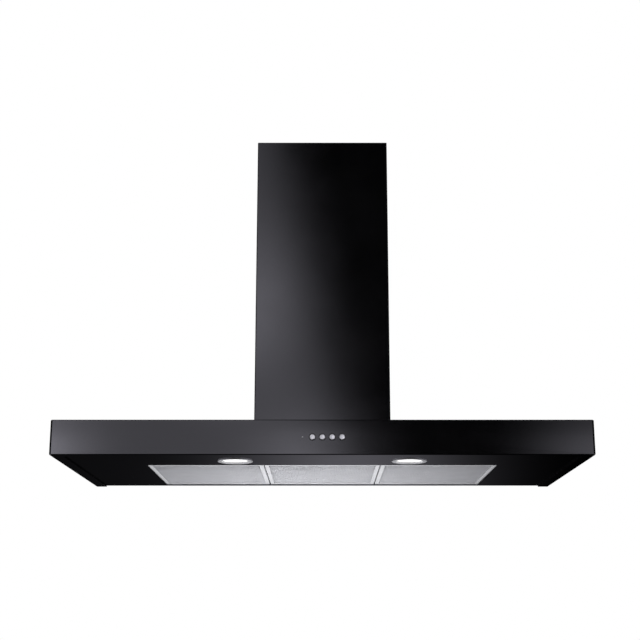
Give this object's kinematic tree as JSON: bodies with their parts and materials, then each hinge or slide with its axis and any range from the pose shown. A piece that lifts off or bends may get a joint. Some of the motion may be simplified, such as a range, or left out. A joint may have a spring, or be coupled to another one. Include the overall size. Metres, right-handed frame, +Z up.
{
  "type": "wall chimney range hood",
  "caption": "Wide black T-shaped chimney range hood: shallow box canopy with lamps, push buttons and hinged mesh filters, telescopic chimney and internal blower.",
  "frame": {"origin": "middle of the canopy's underside, halfway between the fascia and the wall, at the return flange's lower face", "axes": "+X to the right as seen from the front, +Y towards the wall, +Z up"},
  "size_m": [1.1, 0.5028, 0.78],
  "materials": {
    "black_paint": "satin black powder coat",
    "galvanised_steel": "zinc-coated sheet",
    "filter_frame": "satin aluminium",
    "filter_mesh": "layered woven aluminium mesh",
    "latch_plastic": "moulded grey plastic",
    "lamp_trim": "polished",
    "lamp_lens": "frosted diffuser",
    "lamp_module": "cast heat sink",
    "volute_plastic": "moulded dark grey plastic",
    "button_steel": "satin turned face",
    "indicator": "tinted lens",
    "black_plastic": "moulded",
    "circuit_board": "laminate",
    "white_plastic": "moulded",
    "grey_plastic": "moulded",
    "steel_pin": "ground"
  },
  "bodies": {
    "root": {"canopy_shell": "black_paint", "canopy_rear_panel": "black_paint", "underside_panel": "black_paint", "chimney_lower": "black_paint", "hanger_plate_left": "galvanised_steel", "hanger_plate_right": "galvanised_steel", "filter_rail": "galvanised_steel", "blower_chassis": "galvanised_steel", "motor": "galvanised_steel", "motor_bracket": "galvanised_steel", "capacitor_strap": "galvanised_steel", "lamp_left_bezel": "lamp_trim", "lamp_left_lens": "lamp_lens", "lamp_left_module": "lamp_module", "volute_left": "volute_plastic", "lamp_right_bezel": "lamp_trim", "lamp_right_lens": "lamp_lens", "lamp_right_module": "lamp_module", "volute_right": "volute_plastic", "indicator_lens": "indicator", "switch_block": "black_plastic", "outlet_collar": "black_plastic", "cable_gland": "black_plastic", "control_board": "circuit_board", "led_driver": "white_plastic", "capacitor": "white_plastic", "terminal_block": "white_plastic", "terminal_box": "grey_plastic", "terminal_box_lid": "grey_plastic", "damper_pin_front": "steel_pin", "damper_pin_rear": "steel_pin", "foot_screw_1": "steel_pin", "foot_screw_2": "steel_pin", "foot_screw_3": "steel_pin", "foot_screw_4": "steel_pin", "strap_screw_1": "steel_pin", "strap_screw_2": "steel_pin", "lid_screw_1": "steel_pin", "lid_screw_2": "steel_pin", "lid_screw_3": "steel_pin", "lid_screw_4": "steel_pin"},
    "filter_left": {"filter_left_frame": "filter_frame", "filter_left_mesh": "filter_mesh"},
    "latch_left": {"filter_left_latch": "latch_plastic"},
    "filter_centre": {"filter_centre_frame": "filter_frame", "filter_centre_mesh": "filter_mesh"},
    "latch_centre": {"filter_centre_latch": "latch_plastic"},
    "filter_right": {"filter_right_frame": "filter_frame", "filter_right_mesh": "filter_mesh"},
    "latch_right": {"filter_right_latch": "latch_plastic"},
    "button_1": {"button_1": "button_steel"},
    "button_2": {"button_2": "button_steel"},
    "button_3": {"button_3": "button_steel"},
    "button_4": {"button_4": "button_steel"},
    "impeller": {"impeller": "galvanised_steel", "motor_shaft": "steel_pin"},
    "damper_front": {"damper_flap_front": "black_plastic"},
    "damper_rear": {"damper_flap_rear": "black_plastic"},
    "chimney_upper": {"chimney_upper": "black_paint", "chimney_bracket": "galvanised_steel"}
  },
  "joints": [
    {"name": "filter_left_hinge", "type": "hinge", "parent": "root", "child": "filter_left", "pos_m": [-0.2508, 0.2265, 0.0068], "axis": [1, 0, 0], "range_deg": [0, 75]},
    {"name": "filter_centre_hinge", "type": "hinge", "parent": "root", "child": "filter_centre", "pos_m": [0, 0.2265, 0.0068], "axis": [1, 0, 0], "range_deg": [0, 75]},
    {"name": "filter_right_hinge", "type": "hinge", "parent": "root", "child": "filter_right", "pos_m": [0.2508, 0.2265, 0.0068], "axis": [1, 0, 0], "range_deg": [0, 75]},
    {"name": "latch_left_slide", "type": "slide", "parent": "filter_left", "child": "latch_left", "axis": [0, 1, 0], "range_m": [0, 0.0055], "stiffness_N_per_m": 300},
    {"name": "latch_centre_slide", "type": "slide", "parent": "filter_centre", "child": "latch_centre", "axis": [0, 1, 0], "range_m": [0, 0.0055], "stiffness_N_per_m": 300},
    {"name": "latch_right_slide", "type": "slide", "parent": "filter_right", "child": "latch_right", "axis": [0, 1, 0], "range_m": [0, 0.0055], "stiffness_N_per_m": 300},
    {"name": "button_1_press", "type": "slide", "parent": "root", "child": "button_1", "axis": [0, 1, 0], "range_m": [0, 0.0025], "stiffness_N_per_m": 600},
    {"name": "button_2_press", "type": "slide", "parent": "root", "child": "button_2", "axis": [0, 1, 0], "range_m": [0, 0.0025], "stiffness_N_per_m": 600},
    {"name": "button_3_press", "type": "slide", "parent": "root", "child": "button_3", "axis": [0, 1, 0], "range_m": [0, 0.0025], "stiffness_N_per_m": 600},
    {"name": "button_4_press", "type": "slide", "parent": "root", "child": "button_4", "axis": [0, 1, 0], "range_m": [0, 0.0025], "stiffness_N_per_m": 600},
    {"name": "impeller_spin", "type": "hinge", "parent": "root", "child": "impeller", "pos_m": [0, 0.101, 0.185], "axis": [1, 0, 0], "continuous": true},
    {"name": "damper_front_hinge", "type": "hinge", "parent": "root", "child": "damper_front", "pos_m": [0, 0.0965, 0.3585], "axis": [-1, 0, 0], "range_deg": [0, 78]},
    {"name": "damper_rear_hinge", "type": "hinge", "parent": "root", "child": "damper_rear", "pos_m": [0, 0.1055, 0.3585], "axis": [1, 0, 0], "range_deg": [0, 78]},
    {"name": "chimney_slide", "type": "slide", "parent": "root", "child": "chimney_upper", "axis": [0, 0, 1], "range_m": [0, 0.3]}
  ]
}
